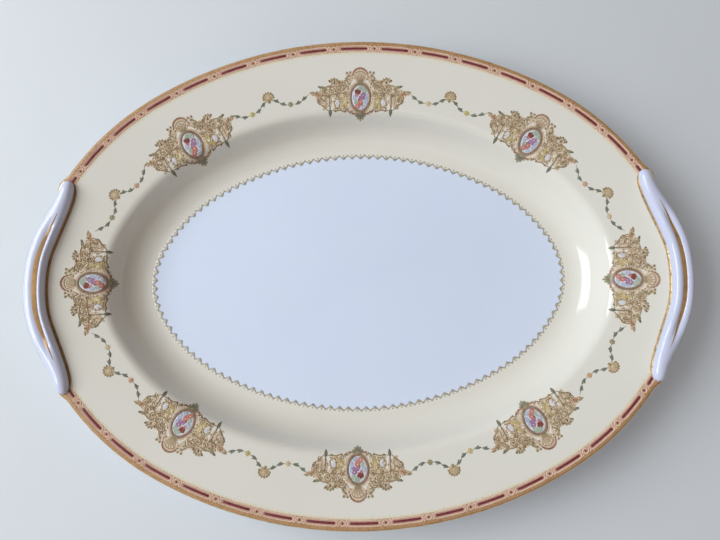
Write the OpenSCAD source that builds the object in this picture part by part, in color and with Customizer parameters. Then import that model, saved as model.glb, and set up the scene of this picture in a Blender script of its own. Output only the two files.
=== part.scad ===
// Oval china serving platter with two closed crescent handles.
// Millimetres, +Z up. The origin is the middle of the foot ring, on the table.
// The plan is an oval of eight tangent arcs. One section, drawn from the rim inwards,
// is swept round all eight, so the border, the cavetto and the foot keep one width all round.

/* [Rim] */
// Spacing of the triangle grid on which the centres of the rim's arcs lie
grid = 10.864; // [10.6:0.001:11]
// Radius of the rim's two round ends
end_radius = 114; // [111:0.5:117]
// Height of the rim above the table
rim_height = 36; // [32:1:42]
// Thickness of the rolled lip
lip_thickness = 4.2; // [3.6:0.1:5]

/* [Section] */
// Width of the sloping border from the lip to the cavetto
border_w = 43.5; // [42:0.5:44.5]
// Fall of the border over that width
border_fall = 9; // [6:0.5:12]
// Distance from the lip to the bottom corner of the cavetto
well_inset = 53.8; // [53:0.2:55]
// Height of the well's floor above the table
well_z = 7.2; // [6.4:0.2:8]
// Thickness of the china
wall_t = 3.8; // [3.2:0.1:4.4]
// Radius of the bend between border and cavetto
shoulder_r = 8; // [6:0.5:10]
// Radius of the bend between cavetto and well
well_r = 20; // [16:0.5:22]
// Distance from the lip to the outer side of the foot ring
foot_inset = 59; // [58:0.5:60]
// Width of the foot ring
foot_w = 5; // [4:0.5:6]

/* [Handles] */
// Half the length of a handle, to the middle of its rounded nose
handle_reach = 63; // [61:0.5:65]
// Distance from the outer strand's middle in to a nose, along X
handle_sag = 20.5; // [19.5:0.5:21.5]
// Distance that a handle's outer strand stands past the rim
handle_overhang = 2.5; // [1.5:0.5:3]
// Radius of each strand
strand_r = 3.6; // [3.4:0.1:3.8]
// Distance between the two strands at the handle's middle
strand_gap = 7; // [6.6:0.2:7.4]
// Height of the strands' centre line over the rim
strand_lift = 0.4; // [0.2:0.1:0.8]

/* [Decoration] */
// Thickness of the fired ivory ground
ground_t = 0.1; // [0.08:0.01:0.15]
// Thickness of the printed and enamelled layers
print_t = 0.25; // [0.2:0.05:0.4]
// Width of the tan border band
band_w = 6; // [5:0.5:7]
// Number of maroon panels along each long side
panel_count = 15; // [11:2:17]
// Length of one maroon panel
panel_l = 17.5; // [12:0.5:18.5]
// Width of one maroon panel
panel_w = 1.4; // [1.2:0.1:2.2]
// Distance between the ends of two panels
panel_gap = 8.6; // [8:0.1:9]
// Width of the square stud between two panels
stud_w = 1.6; // [1.2:0.1:2.4]
// Half length of a medallion, along the rim
medallion_half = 31; // [28:1:33]
// Distance from the lip to the middle of a medallion
medallion_inset = 34.7; // [34:0.1:36]
// Half width of a medallion's oval frame
frame_half = 6.6; // [5.5:0.1:7.5]
// Number of points in each quarter of the lace round the well
lace_points = 30; // [20:1:36]
// Depth of one point of the lace
lace_depth = 2; // [1.4:0.1:2.4]
// Thickness of the lace's line
lace_line = 0.8; // [0.5:0.1:1]

/* [Hidden] */

$fn = 48;
eps = 0.01;
// Height that clears the whole platter
clear_h = rim_height + 12;

china = [0.93, 0.93, 0.96];
ivory = [0.93, 0.90, 0.78];
gold = [0.80, 0.58, 0.24];
tan_print = [0.74, 0.60, 0.38];
maroon = [0.48, 0.16, 0.20];
leaf_green = [0.42, 0.47, 0.40];

// ---- The oval: end, shoulder and side arcs in each quarter -------------------------------

// The arcs meet on lines at 30 and 60 degrees, so their centres lie on a grid of 30-60-90
// triangles: shoulder_steps rows below the long axis, side_steps columns from the short one.
end_turn = 30;
side_turn = 60;
shoulder_steps = 2.5;
side_steps = 4;

shoulder_c = [side_steps * grid, -shoulder_steps * grid];
end_x = shoulder_c[0] + shoulder_steps * grid * sqrt(3);
side_y = shoulder_c[1] - side_steps * grid * sqrt(3);
shoulder_radius = end_radius + 2 * shoulder_steps * grid;
side_radius = shoulder_radius + 2 * side_steps * grid;
half_l = end_x + end_radius;
half_w = side_y + side_radius;

// Each arc is [centre, radius, first direction, last direction]
function mirrored(c, sx, sy) = [c[0] * sx, c[1] * sy];
ARCS = [
    [[end_x, 0], end_radius, -end_turn, end_turn],
    [mirrored(shoulder_c, 1, 1), shoulder_radius, end_turn, side_turn],
    [[0, side_y], side_radius, side_turn, 180 - side_turn],
    [mirrored(shoulder_c, -1, 1), shoulder_radius, 180 - side_turn, 180 - end_turn],
    [[-end_x, 0], end_radius, 180 - end_turn, 180 + end_turn],
    [mirrored(shoulder_c, -1, -1), shoulder_radius, 180 + end_turn, 180 + side_turn],
    [[0, -side_y], side_radius, 180 + side_turn, 360 - side_turn],
    [mirrored(shoulder_c, 1, -1), shoulder_radius, 360 - side_turn, 360 - end_turn]
];

// Arc that a direction falls in, and the point at an inset from the rim in that direction
function turn(a) = a >= 360 - end_turn ? a - 360 : a;
function arc_at(a) = [for (arc = ARCS) if (turn(a) >= arc[2] && turn(a) < arc[3]) arc][0];
function rim_point(a, inset) =
    arc_at(a)[0] + (arc_at(a)[1] - inset) * [cos(a), sin(a)];

// Length of each arc at an inset, of all arcs before it, and of the whole oval
function arc_run(arc, inset) = (arc[1] - inset) * (arc[3] - arc[2]) * PI / 180;
function run_before(i, inset) = i == 0 ? 0 : run_before(i - 1, inset) + arc_run(ARCS[i - 1], inset);
function oval_run(inset) = run_before(len(ARCS), inset);

// Direction at a fraction of the way round the oval, from the start of the right-hand end
function direction_on(fraction, inset) =
    let (run = fraction * oval_run(inset),
        i = max([for (k = [0:7]) if (run_before(k, inset) <= run) k]),
        past = (run - run_before(i, inset)) / (ARCS[i][1] - inset))
    ARCS[i][2] + past * 180 / PI;

// Sweeps a section along the arcs between two directions. The section is drawn at
// x = -inset and y = height.
module sweep(from = -end_turn, to = 360 - end_turn) {
    for (arc = ARCS) {
        for (lap = [-360, 0, 360]) {
            low = max(arc[2] + lap, from);
            high = min(arc[3] + lap, to);
            if (high > low + eps)
                translate(arc[0])
                    rotate_extrude(angle = high - low, start = low)
                        translate([arc[1], 0])
                            children();
        }
    }
}

// The whole oval at an inset from the rim
module oval(inset, steps = 72) {
    polygon([for (i = [0:steps - 1]) rim_point(-end_turn + 360 * i / steps, inset)]);
}

// ---- The section -------------------------------------------------------------------------

lip_r = lip_thickness / 2;
slope = atan2(border_fall, border_w - lip_r);
border_end = [-border_w, rim_height - border_fall];
well_corner = [-well_inset, well_z];
drop = atan2(border_end[1] - well_z, well_inset - border_w);
// Inner end of the swept section, well inside the foot ring
sweep_w = foot_inset + 17;
foot_z = well_z - wall_t;

// Points of an arc from one direction to another
function arc_points(centre, r, from, to, steps = 6) =
    [for (i = [0:steps]) centre + r * [cos(from + (to - from) * i / steps),
        sin(from + (to - from) * i / steps)]];

// Centres of the two bends, which touch the straight runs on both sides of their corners
shoulder_tan = shoulder_r * tan((drop - slope) / 2);
shoulder_c2 = border_end + shoulder_tan * [cos(slope), sin(slope)]
    + shoulder_r * [sin(slope), -cos(slope)];
well_tan = well_r * tan(drop / 2);
well_c2 = well_corner + [-well_tan, well_r];
lip_c = [-lip_r, rim_height - lip_r];

// Upper surface raised by t, from the lip to the well; every point moves along its normal
function upper(t) = concat(
    arc_points(lip_c, lip_r + t, 60, 90 + slope, 4),
    arc_points(shoulder_c2, shoulder_r + t, 90 + slope, 90 + drop),
    arc_points(well_c2, well_r - t, -90 + drop, -90),
    [[-sweep_w, well_z + t]]);

function reversed(list) = [for (i = [len(list) - 1:-1:0]) list[i]];

// Underside: rolled lip, even wall down to the foot ring, and the ring with its rounded edges
foot_in = foot_inset + foot_w;
wall_r = well_r + wall_t;
foot_turn = -acos((-foot_inset - well_c2[0]) / wall_r);
under = concat(
    arc_points(lip_c, lip_r, 60, 0, 3),
    arc_points(lip_c, lip_r, 0, -90 + slope, 4),
    arc_points(shoulder_c2, shoulder_r - wall_t, 90 + slope, 90 + drop),
    arc_points(well_c2, wall_r, -90 + drop, foot_turn, 4),
    [[-foot_inset - 0.8, 0.6], [-foot_inset - 1.6, 0], [-foot_in + 1, 0], [-foot_in, 1],
     [-foot_in - 1, foot_z], [-sweep_w, foot_z]]);

// A layer of thickness t on the upper surface, from height lift above it
module layer(lift, t) {
    polygon(concat(upper(lift), reversed(upper(lift + t))));
}

// A layer cut down to the band between two insets
module layer_band(lift, t, near, far) {
    intersection() {
        layer(lift, t);
        translate([-far, 0])
            square([far - near, clear_h]);
    }
}

// Insets between which the medallions and garlands lie
print_near = 4;
print_far = 58;

// Plan shapes become thin prints that follow the china between two directions
module printed(from, to, near = print_near, far = print_far, lift = ground_t, t = print_t) {
    intersection() {
        sweep(from, to)
            layer_band(lift, t, near, far);
        linear_extrude(clear_h)
            children();
    }
}

// Moves a plan shape so that its +Y points outwards at an inset from the rim
module at_rim(a, inset) {
    translate(rim_point(a, inset))
        rotate(a - 90)
            children();
}

// Moves a plan shape to a fraction of the way round the oval
module at_run(fraction, inset) {
    at_rim(direction_on(fraction, inset), inset)
        children();
}

// ---- Handles -----------------------------------------------------------------------------

// The outer and inner strands are arcs that close on each other towards the noses
outer_mid = half_l + handle_overhang - strand_r;
inner_mid = outer_mid - strand_gap;
groove_mid = (outer_mid + inner_mid) / 2;
nose = [outer_mid - handle_sag, handle_reach];
nose_r = strand_r + 0.7;
function arc_radius(sag, half) = (sag * sag + half * half) / (2 * sag);
function strand_radius(mid) = arc_radius(mid - nose[0], nose[1]);
function strand_sweep(mid) = asin(nose[1] / strand_radius(mid));
strand_z = rim_height + strand_lift;
// Height of the clay in the groove over the strands' centre line
groove_lift = 1.4;
// Directions either side of the handle's middle in which it lies over the rim
handle_turn = 64;
// Width of the gold line in the groove, and the reach of the one along the inner strand
groove_gold_w = 1.8;
inner_gold_near = 0.3;
inner_gold_far = 1.6;

module strand(mid) {
    r = strand_radius(mid);
    a = strand_sweep(mid);
    translate([mid - r, 0, strand_z])
        rotate_extrude(angle = 2 * a, start = -a)
            translate([r, 0])
                circle(strand_r);
}

// Plan crescent between an outer and an inner arc that end at the noses
module crescent(outer, inner) {
    r_out = strand_radius(outer);
    r_in = strand_radius(inner);
    difference() {
        intersection() {
            translate([outer - r_out, 0])
                circle(r_out, $fn = 180);
            translate([nose[0], -nose[1]])
                square([half_l, 2 * nose[1]]);
        }
        translate([inner - r_in, 0])
            circle(r_in, $fn = 180);
    }
}

module right_handle() {
    difference() {
        union() {
            strand(outer_mid);
            strand(inner_mid);
            for (side = [-1, 1])
                translate([nose[0], side * nose[1], strand_z])
                    sphere(nose_r);
            translate([0, 0, strand_z - strand_r])
                linear_extrude(strand_r + groove_lift)
                    crescent(outer_mid, inner_mid);
        }
        // The clay is luted down onto the rim, so its underside takes the rim's shape
        sweep(-handle_turn, handle_turn)
            body_section();
    }
}

module handle_plan() {
    crescent(outer_mid + strand_r, inner_mid - strand_r);
    for (side = [-1, 1])
        translate([nose[0], side * nose[1]])
            circle(nose_r + 0.5);
}

module right_handle_gilding() {
    // Line in the groove, widest at the middle
    translate([0, 0, strand_z + groove_lift])
        linear_extrude(print_t)
            crescent(groove_mid + groove_gold_w / 2, groove_mid - groove_gold_w / 2);
    // Line on the china along the inner strand
    printed(-40, 40, 5, 30)
        crescent(inner_mid - strand_r - inner_gold_near, inner_mid - strand_r - inner_gold_far);
}

// ---- Ornament in plan --------------------------------------------------------------------

module ellipse(a, b, steps = 28) {
    polygon([for (i = [0:steps - 1]) [a * cos(i * 360 / steps), b * sin(i * 360 / steps)]]);
}

// Pointed leaf along +X from the origin
module leaf(length, width) {
    r = (length * length / 4 + width * width / 4) / width;
    intersection() {
        translate([length / 2, r - width / 2])
            circle(r);
        translate([length / 2, width / 2 - r])
            circle(r);
    }
}

// Scroll: an open ring with a bud at its heart
module scroll(r, w) {
    difference() {
        circle(r);
        circle(r - w);
        translate([0, -r])
            square([r + eps, r - w / 2]);
    }
    circle(w * 0.8);
}

// Fan shell with scalloped edge, opening towards +Y
module fan(r, lobes = 5) {
    lobe_r = r * 0.34;
    for (i = [0:lobes - 1])
        rotate(-75 + 150 * i / (lobes - 1))
            translate([0, r - lobe_r])
                circle(lobe_r);
    circle(r * 0.72);
}

frame_long = frame_half * 1.4;

module medallion_plan() {
    // Oval frame and the plaque inside it
    ellipse(frame_half, frame_long);
    // Shell crest over the frame
    translate([0, frame_long + 1.5])
        fan(4.6);
    // Palmette under the frame
    for (a = [-60, -90, -120])
        translate([0, -frame_long + 0.6])
            rotate(a)
                leaf(6, 2.4);
    for (side = [-1, 1])
        scale([side, 1])
            side_spray();
}

// Everything on one side of the frame
module side_spray() {
    span = medallion_half;
    // Scrolls beside the frame
    translate([frame_half + 4, 5.6])
        scroll(3.8, 1.2);
    translate([frame_half + 4.2, -5.8])
        scroll(3.2, 1.1);
    translate([span * 0.56, 4.4])
        scroll(3.4, 1.1);
    // Leaf that carries the upper lobe, and the leaves towards the tip
    translate([frame_half - 0.6, frame_long - 1.2])
        rotate(18)
            leaf(9, 2.6);
    translate([span * 0.42, 1.2])
        rotate(-4)
            leaf(14, 2.2);
    translate([span * 0.68, 3.6])
        rotate(20)
            leaf(6.8, 2.2);
    // Stem and drop that hang towards the well
    translate([span * 0.65, 1.4])
        rotate(-92)
            leaf(10, 1.4);
    translate([span * 0.64, -7.8])
        rotate(-92)
            leaf(5, 2.6);
    // Lower edge of the wing
    translate([span * 0.34, -8.8])
        rotate(3)
            leaf(9, 1.8);
    translate([span * 0.9, -0.6])
        rotate(-130)
            leaf(10, 1.8);
    // Flower and bud at the tip
    translate([span * 0.88, 0.7])
        circle(2);
    translate([span * 0.97, 1.4])
        circle(1.3);
}

module medallion(a) {
    spread = atan2(medallion_half, arc_at(a)[1] - medallion_inset) + 4;
    color(tan_print)
        printed(a - spread, a + spread)
            at_rim(a, medallion_inset)
                medallion_plan();
}

// A garland hangs from a fan shell to the medallions on both sides. Bells and leaves take
// turns along a curve that sags towards the well.
bells = 4;
shell_inset = 28.5;
garland_inset = 30.5;
garland_sag = 4.3;
// Share of the way to the medallion that a half garland covers, and its start past the shell
garland_share = 0.94;
garland_start = 1.2;

module garland(from, to) {
    middle = (from + to) / 2;
    reach = (to - from) / 2;
    color(leaf_green)
        printed(from - 3, to + 3) {
            at_rim(middle, shell_inset)
                fan(3.6);
            for (half = [-1, 1])
                for (i = [0:2 * bells]) {
                    s = i / (2 * bells);
                    at_rim(middle + half * (reach * s * garland_share + garland_start),
                            garland_inset + garland_sag * sin(180 * s))
                        if (i % 2 == 0)
                            circle(1.1, $fn = 20);
                        else
                            rotate(half > 0 ? 172 : 8)
                                translate([-2, 0])
                                    leaf(4.4, 1.5);
                }
        }
}

// ---- Border ------------------------------------------------------------------------------

band_near = 2.4;
band_far = band_near + band_w;
// Directions between which the border runs free of the handles, from +X on the back side
band_from = 36;
band_to = 180 - band_from;

// The panels' line, its length from the +Y middle to the shoulder arc, and the direction
// at a given length along it
panel_inset = band_near + band_w / 2;
side_len = (side_radius - panel_inset) * (90 - side_turn) * PI / 180;
function direction_at(s) =
    let (run = abs(s), way = s < 0 ? -1 : 1)
    run <= side_len
        ? 90 - way * run / (side_radius - panel_inset) * 180 / PI
        : 90 - way * (90 - side_turn + (run - side_len) / (shoulder_radius - panel_inset) * 180 / PI);

pitch = panel_l + panel_gap;

module border_half(side) {
    printed(band_from + (side < 0 ? 180 : 0), band_to + (side < 0 ? 180 : 0),
            band_near, band_far, ground_t + print_t)
        rotate(side < 0 ? 180 : 0)
            children();
}

module border_panels(side) {
    last = (panel_count - 1) / 2;
    color(maroon)
        border_half(side)
            for (i = [-last:last]) {
                a = direction_at(i * pitch);
                at_rim(a, panel_inset)
                    square([panel_l, panel_w], center = true);
            }
}

module border_studs(side) {
    last = panel_count / 2;
    color(gold)
        border_half(side)
            for (i = [-last:last]) {
                a = direction_at(i * pitch);
                at_rim(a, panel_inset)
                    rotate(45)
                        square(stud_w, center = true);
            }
}

module border_band(side) {
    start = band_from + (side < 0 ? 180 : 0);
    color(tan_print)
        sweep(start, start + band_to - band_from)
            layer_band(ground_t, print_t, band_near, band_far);
}

// ---- Pieces ------------------------------------------------------------------------------

module body_section() {
    polygon(concat(reversed(upper(0)), under));
}

module platter_body() {
    color(china) {
        sweep()
            body_section();
        translate([0, 0, foot_z])
            linear_extrude(wall_t)
                oval(sweep_w - 4);
    }
}

module handle_left() {
    color(china)
        mirror([1, 0, 0])
            right_handle();
}

module handle_right() {
    color(china)
        right_handle();
}

module ivory_ground() {
    color(ivory)
        difference() {
            sweep()
                layer_band(0, ground_t, band_near, well_inset + well_tan - 1);
            for (side = [0, 1])
                mirror([side, 0, 0])
                    linear_extrude(clear_h)
                        handle_plan();
        }
}

module rim_gilding() {
    color(gold)
        sweep()
            intersection() {
                translate(lip_c)
                    difference() {
                        circle(lip_r + ground_t);
                        circle(lip_r);
                    }
                translate([-lip_r, rim_height - lip_thickness])
                    square([lip_r + 1, lip_thickness - 1]);
            }
}

// One point of the lace: a chevron with its tip towards the well
module lace_chevron(width) {
    line_h = lace_line * 1.6;
    polygon([[-width / 2, 0], [0, -lace_depth], [width / 2, 0], [width / 2, -line_h],
        [0, -lace_depth - line_h], [-width / 2, -line_h]]);
}

module verge_lace() {
    near = well_inset + well_tan + 0.4;
    count = 4 * lace_points;
    overlap = 0.05;
    color(tan_print)
        translate([0, 0, well_z])
            linear_extrude(print_t)
                for (i = [0:count - 1])
                    at_run(i / count, near)
                        lace_chevron(oval_run(near) / count + overlap);
}

module handle_gilding_left() {
    color(gold)
        mirror([1, 0, 0])
            right_handle_gilding();
}

module handle_gilding_right() {
    color(gold)
        right_handle_gilding();
}

// The medallions stand in the four middles and at this direction from +X in each quarter
corner = 60.5;
// Turn from a medallion's middle to the garland's end beside it: at the platter's two ends,
// in the middles of the long sides, and beside a corner medallion
right_end = 27;
side_end = 8.5;
corner_end = 13.5;

platter_body();
handle_left();
handle_right();
ivory_ground();
rim_gilding();
border_band(-1);  // border_band_front
border_band(1);  // border_band_back
border_panels(-1);  // border_panels_front
border_panels(1);  // border_panels_back
border_studs(-1);  // border_studs_front
border_studs(1);  // border_studs_back
verge_lace();
handle_gilding_left();
handle_gilding_right();
medallion(0);  // medallion_right
medallion(corner);  // medallion_back_right
medallion(90);  // medallion_back
medallion(180 - corner);  // medallion_back_left
medallion(180);  // medallion_left
medallion(180 + corner);  // medallion_front_left
medallion(270);  // medallion_front
medallion(360 - corner);  // medallion_front_right
garland(right_end, corner - corner_end);  // garland_right_back
garland(corner + corner_end, 90 - side_end);  // garland_back_right
garland(90 + side_end, 180 - corner - corner_end);  // garland_back_left
garland(180 - corner + corner_end, 180 - right_end);  // garland_left_back
garland(180 + right_end, 180 + corner - corner_end);  // garland_left_front
garland(180 + corner + corner_end, 270 - side_end);  // garland_front_left
garland(270 + side_end, 360 - corner - corner_end);  // garland_front_right
garland(360 - corner + corner_end, 360 - right_end);  // garland_right_front
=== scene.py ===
"""Visual model of an oval china serving platter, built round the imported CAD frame.

All shapes are drawn in millimetres in the CAD frame and become metres in add_piece().
A place on the platter is a direction (degrees, anticlockwise from +X) and an inset
(distance in from the rim); a print is drawn flat in plan and then draped on the china.
"""
from math import acos, atan2, cos, degrees, pi, radians, sin, sqrt, tan
import random

import bpy
import numpy as np
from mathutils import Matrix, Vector


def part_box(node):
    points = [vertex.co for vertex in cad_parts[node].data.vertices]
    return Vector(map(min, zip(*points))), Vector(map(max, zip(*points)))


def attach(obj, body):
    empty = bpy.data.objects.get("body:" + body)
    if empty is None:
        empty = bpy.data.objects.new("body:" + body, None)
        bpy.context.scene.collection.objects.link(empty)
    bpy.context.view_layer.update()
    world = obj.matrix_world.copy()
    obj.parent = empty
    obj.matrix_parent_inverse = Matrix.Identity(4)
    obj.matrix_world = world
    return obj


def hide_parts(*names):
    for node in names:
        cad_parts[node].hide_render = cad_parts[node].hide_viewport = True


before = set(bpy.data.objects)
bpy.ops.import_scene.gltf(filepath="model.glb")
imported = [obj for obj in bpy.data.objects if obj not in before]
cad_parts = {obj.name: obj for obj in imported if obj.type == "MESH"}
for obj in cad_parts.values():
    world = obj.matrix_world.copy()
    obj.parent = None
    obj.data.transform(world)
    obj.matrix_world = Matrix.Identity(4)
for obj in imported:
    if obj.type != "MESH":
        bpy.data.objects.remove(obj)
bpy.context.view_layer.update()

MM = 0.001
ROOT3 = sqrt(3)
MEDALLIONS = {  # name: direction, inset
    "right": (-3.2, 34.0), "back_right": (58.6, 35.1), "back": (89.1, 34.5), "back_left": (119.0, 36.1),
    "left": (179.8, 35.6), "front_left": (239.8, 34.7), "front": (269.2, 34.5), "front_right": (298.9, 34.0),
}
GARLANDS = {  # name: direction, inset
    "right_back": (33.8, 28.1), "back_right": (74.2, 27.8), "back_left": (104.3, 27.4),
    "left_back": (143.1, 29.1), "left_front": (216.0, 28.7), "front_left": (254.7, 26.8),
    "front_right": (284.1, 26.7), "right_front": (322.7, 26.0),
}

# ---- The oval and its section ----

BODY_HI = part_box("platter_body")[1]
HALF_L, HALF_W, RIM_Z = BODY_HI.x / MM, BODY_HI.y / MM, BODY_HI.z / MM
END_STEPS, SIDE_STEPS = 2.5, 4.0
GRID = (HALF_L - HALF_W) / ((ROOT3 - 1) * (END_STEPS + SIDE_STEPS))
END_X = GRID * (SIDE_STEPS + END_STEPS * ROOT3)
ARC_X = np.array([END_X, SIDE_STEPS * GRID, 0.0])
ARC_Y = np.array([0.0, -END_STEPS * GRID, -(END_STEPS + SIDE_STEPS * ROOT3) * GRID])
ARC_R = (HALF_L - END_X) + GRID * np.array([0.0, 2 * END_STEPS, 2 * (END_STEPS + SIDE_STEPS)])
END_TURN, SIDE_TURN = 30.0, 60.0

LIP_R = 2.1
BORDER_W, BORDER_FALL = 43.5, 9.0
WELL_INSET, WELL_Z = 53.8, 7.2
WALL = 3.8
SHOULDER_R, WELL_R = 8.0, 20.0
FOOT_INSET, FOOT_W = 59.0, 5.0
SWEEP_W, FLOOR_INSETS = FOOT_INSET + 17, (68, 70, 73)
GROUND_T = 0.1
LACE_INSET, LACE_REPEATS, LACE_DEEP, LACE_BACK = 66.9, 120, 2.3, 0.8
LACE_W, LACE_THIN, LACE_ROUND = 1.3, 0.8, 1.15
LACE_TIP = ((-0.34, -1.4), (-0.2, 0.1), (0, 0.85), (0.2, 0.1), (0.34, -1.4))  # share of a repeat, depth

# The rim is tucked in under each handle and bulges in a small ear past the handle's nose.
# Shift outwards against the angle from the ear's middle, folded into one quarter.
EAR_AT, EAR_SKEW, EAR_REACH = 33.0, 0.9, 12.0
EAR_TURN = (-6.0, -4.2, -2.4, -1.0, 0.0, 1.2, 2.6)
EAR_SHIFT = (-5.0, -3.6, -1.4, 1.2, 1.9, 1.0, 0.0)


def smooth(value, knots, levels):
    """Smooth curve through a few levels, flat past both ends."""
    knots, levels = np.asarray(knots, float), np.asarray(levels, float)
    rate = np.diff(levels) / np.diff(knots)
    slope = np.concatenate([[0], (rate[1:] + rate[:-1]) / 2 * (rate[1:] * rate[:-1] > 0), [0]])
    k = np.clip(np.searchsorted(knots, value) - 1, 0, len(knots) - 2)
    span = np.diff(knots)[k]
    t = np.clip((value - knots[k]) / span, 0, 1)
    return ((1 + 2 * t) * (1 - t) ** 2 * levels[k] + t ** 2 * (3 - 2 * t) * levels[k + 1]
            + t * (1 - t) ** 2 * span * slope[k] - t ** 2 * (1 - t) * span * slope[k + 1])


def folded(a):
    """An angle in radians folded into the first quarter, in degrees."""
    return np.degrees(np.arctan2(np.abs(np.sin(a)), np.abs(np.cos(a))))


def plan(direction, inset):
    """Plan point at a direction and an inset from the rim."""
    a = np.radians(np.asarray(direction, float))
    ca, sa = np.cos(a), np.sin(a)
    k = (folded(a) >= END_TURN).astype(int) + (folded(a) >= SIDE_TURN)
    r = ARC_R[k] - inset
    return np.sign(ca) * (ARC_X[k] + r * np.abs(ca)), np.sign(sa) * (ARC_Y[k] + r * np.abs(sa))


def inset_of(x, y):
    """Inset from the rim of plan points."""
    ax, ay = np.abs(x), np.abs(y)
    turns = [np.degrees(np.arctan2(ay - ARC_Y[k], ax - ARC_X[k])) for k in range(3)]
    k = np.where((turns[0] < END_TURN) & (ax > ARC_X[0]), 0, np.where(turns[2] >= SIDE_TURN, 2, 1))
    return ARC_R[k] - np.hypot(ax - ARC_X[k], ay - ARC_Y[k])


class RimLine:
    """A line along the rim at an inset; a place on it is a length from a start direction."""

    def __init__(self, start, inset):
        self.inset = inset
        self.directions = np.linspace(-90, 450, 10801)
        x, y = plan(self.directions, inset)
        run = np.concatenate([[0], np.cumsum(np.hypot(np.diff(x), np.diff(y)))])
        self.run = run - np.interp(0, self.directions, run)
        self.start = np.interp(start, self.directions, self.run)

    def length_to(self, direction):
        """Length from the start to a direction."""
        return np.interp(direction, self.directions, self.run) - self.start

    def at(self, length, down=0.0):
        """Plan point at a length along the line, and down from it towards the well."""
        x, y = plan(np.interp(self.start + length, self.run, self.directions), self.inset + down)
        return float(x), float(y)

    def capsule(self, start, end, half):
        """Round-ended outline that follows the line between two lengths."""
        s = np.linspace(start + half, end - half, 12)
        turns = np.radians((30, 60, 90, 120, 150))
        last_end = [self.at(s[-1] + half * sin(t), -half * cos(t)) for t in turns]
        first_end = [self.at(s[0] - half * sin(t), half * cos(t)) for t in turns]
        return [self.at(v, -half) for v in s] + last_end + [self.at(v, half) for v in s[::-1]] + first_end


def oval_arc(centre, a, b, start, end, steps):
    """Points along an oval from one angle to another."""
    t = np.radians(np.linspace(start, end, steps + 1))
    return np.stack([centre[0] + a * np.cos(t), centre[1] + b * np.sin(t)], 1)


def arc_points(centre, r, start, end, steps):
    """Points along a circle from one angle to another."""
    return oval_arc(centre, r, r, start, end, steps)


def joined(first, second, shares):
    """The first run of points, then points at shares of the straight way to the second run."""
    return np.concatenate([first, first[-1] + (second[0] - first[-1]) * shares])


def section():
    """The section at x = -inset: upper side from the lip to the well, and the underside."""
    slope = degrees(atan2(BORDER_FALL, BORDER_W - LIP_R))
    corner = np.array([-BORDER_W, RIM_Z - BORDER_FALL])
    drop = degrees(atan2(corner[1] - WELL_Z, WELL_INSET - BORDER_W))
    s, d = radians(slope), radians(drop)
    along, normal = np.array([cos(s), sin(s)]), np.array([sin(s), -cos(s)])
    bend = corner + SHOULDER_R * tan((d - s) / 2) * along + SHOULDER_R * normal
    well = np.array([-WELL_INSET - WELL_R * tan(d / 2), WELL_Z + WELL_R])
    lip = (-LIP_R, RIM_Z - LIP_R)
    foot_z, out = WELL_Z - WALL, FOOT_INSET
    floor = np.array([[-x, WELL_Z] for x in (*FLOOR_INSETS, SWEEP_W)])
    slope_run = np.linspace(0, 1, 14)[1:-1, None]
    lip_top = arc_points(lip, LIP_R, 0, 90 + slope, 10)
    bend_top = arc_points(bend, SHOULDER_R, 90 + slope, 90 + drop, 12)
    well_top = arc_points(well, WELL_R, drop - 90, -90, 18)
    upper = np.concatenate([joined(lip_top, bend_top, slope_run),
                            joined(bend_top, well_top, slope_run[::3]), well_top, floor])
    lip_low = arc_points(lip, LIP_R, 0, slope - 90, 8)[1:]
    bend_low = arc_points(bend, SHOULDER_R - WALL, 90 + slope, 90 + drop, 8)
    foot_turn = -degrees(acos((-out - well[0]) / (WELL_R + WALL)))
    well_low = arc_points(well, WELL_R + WALL, drop - 90, foot_turn, 10)
    inner = out + FOOT_W
    foot = np.array([
        (out + 0.35, foot_z - 0.9), (out + 0.6, 1.2), (out + 1.0, 0.45), (out + 1.6, 0.06), (out + 2.1, 0),
        (inner - 1.3, 0), (inner - 0.6, 0.12), (inner - 0.15, 0.6), (inner + 0.2, 1.6),
        (inner + 0.8, foot_z - 0.5), (inner + 1.6, foot_z), (SWEEP_W, foot_z)]) * (-1, 1)
    lower = np.concatenate([joined(lip_low, bend_low, slope_run),
                            joined(bend_low, well_low, slope_run[::3]), well_low, foot])
    return upper, lower


UPPER, LOWER = section()


def top_height(inset):
    """Height of the china's upper surface at an inset."""
    return np.interp(inset, -UPPER[:, 0], UPPER[:, 1])


def ear(direction):
    """How far the rim is moved outwards at a direction."""
    a = np.radians(np.asarray(direction, float))
    return smooth(folded(a) - EAR_AT + EAR_SKEW * np.sign(np.sin(a)), EAR_TURN, EAR_SHIFT)


def on_oval(direction, inset, z):
    """3-D points at directions, insets and heights, with the rim's ears."""
    inset = np.asarray(inset, float)
    near = np.clip(1 - inset / EAR_REACH, 0, 1) ** 2
    x, y = plan(direction, inset - ear(direction) * near)
    return np.stack(np.broadcast_arrays(x, y, z), -1)


# ---- Mesh helpers ----

SWEEP_STEP = 0.75  # degrees between two sections of a swept strip
SINK = 0.06  # how far a print reaches down into the layer under it


def add_piece(name, points, faces, material, nodes, sharp=50):
    """A smooth-shaded mesh piece that rides on the platter, in a material named in M."""
    mesh = bpy.data.meshes.new(name)
    mesh.from_pydata([tuple(p) for p in np.asarray(points, float) * MM], [], faces)
    mesh.validate()
    mesh.polygons.foreach_set("use_smooth", [True] * len(mesh.polygons))
    mesh.set_sharp_from_angle(angle=radians(sharp))
    mesh.materials.append(M[material])
    piece = bpy.data.objects.new(name, mesh)
    bpy.context.scene.collection.objects.link(piece)
    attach(piece, "root")
    if nodes:
        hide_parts(*nodes)


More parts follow.
